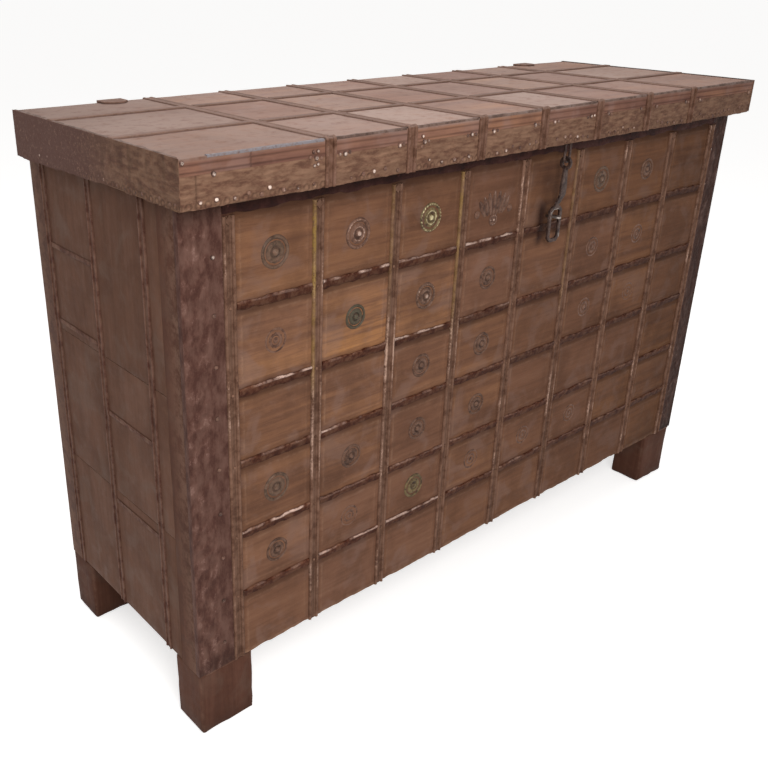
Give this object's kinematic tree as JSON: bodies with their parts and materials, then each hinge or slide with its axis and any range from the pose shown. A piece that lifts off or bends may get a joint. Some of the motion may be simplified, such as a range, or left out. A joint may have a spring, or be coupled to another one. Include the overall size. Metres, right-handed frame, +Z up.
{
  "type": "dowry chest",
  "caption": "Long wooden dowry chest on post feet, bound in a grid of iron straps with brass rosettes; overhanging lid hinged at the back, hasp closing over a staple in front.",
  "frame": {"origin": "on the floor, at the middle of the chest's footprint box", "axes": "+X along the chest's length, to the right of someone facing its front; +Y from the front to the back; +Z up"},
  "size_m": [1.484, 0.5246, 1.0032],
  "materials": {
    "aged_wood": "old dry hardwood, worn stain",
    "wrought_iron": "forged iron, brown patina",
    "iron_sheet": "hammered iron sheet, dark patina",
    "brass": "embossed, rubbed bright on the high places",
    "dull_brass": "embossed, dull brown patina"
  },
  "bodies": {
    "carcass": {"back_boards": "aged_wood", "catch_staple": "wrought_iron", "end_bands_left": "wrought_iron", "end_bands_right": "wrought_iron", "end_straps_left": "wrought_iron", "end_straps_right": "wrought_iron", "floor_bearers": "aged_wood", "floor_boards": "aged_wood", "front_band_1": "wrought_iron", "front_band_2": "wrought_iron", "front_band_3": "wrought_iron", "front_band_4": "wrought_iron", "front_band_5": "wrought_iron", "front_boards": "aged_wood", "front_strap_1": "wrought_iron", "front_strap_2": "wrought_iron", "front_strap_3": "wrought_iron", "front_strap_4": "wrought_iron", "front_strap_5": "wrought_iron", "front_strap_6": "wrought_iron", "front_strap_7": "wrought_iron", "front_strap_8": "wrought_iron", "front_strap_9": "wrought_iron", "hinge_body_leaf_1": "wrought_iron", "hinge_body_leaf_2": "wrought_iron", "hinge_pin_1": "wrought_iron", "hinge_pin_2": "wrought_iron", "left_boards": "aged_wood", "lotus_plate": "dull_brass", "post_back_left": "aged_wood", "post_back_right": "aged_wood", "post_front_left": "aged_wood", "post_front_right": "aged_wood", "right_boards": "aged_wood", "rosettes_brass": "brass", "rosettes_dark": "dull_brass", "stile_cover_left": "iron_sheet", "stile_cover_right": "iron_sheet", "top_strip": "iron_sheet"},
    "lid": {"hasp_staple": "wrought_iron", "hinge_lid_leaf_1": "wrought_iron", "hinge_lid_leaf_2": "wrought_iron", "lid_bands": "wrought_iron", "lid_battens": "aged_wood", "lid_boards": "aged_wood", "lid_edge_front": "iron_sheet", "lid_edge_left": "iron_sheet", "lid_edge_right": "iron_sheet", "lid_rim_front": "aged_wood", "lid_rim_left": "aged_wood", "lid_rim_right": "aged_wood", "lid_strap_1": "wrought_iron", "lid_strap_2": "wrought_iron", "lid_strap_3": "wrought_iron", "lid_strap_4": "wrought_iron", "lid_strap_5": "wrought_iron", "lid_strap_6": "wrought_iron", "lid_strap_7": "wrought_iron"},
    "hasp": {"hasp": "wrought_iron"}
  },
  "joints": [
    {"name": "lid_hinge", "type": "hinge", "parent": "carcass", "child": "lid", "pos_m": [0, 0.25535, 0.975], "axis": [-1, 0, 0], "range_deg": [0, 100]},
    {"name": "hasp_swing", "type": "hinge", "parent": "lid", "child": "hasp", "pos_m": [0.09106, -0.24915, 0.893], "axis": [-1, 0, 0], "range_deg": [-3, 120]}
  ]
}
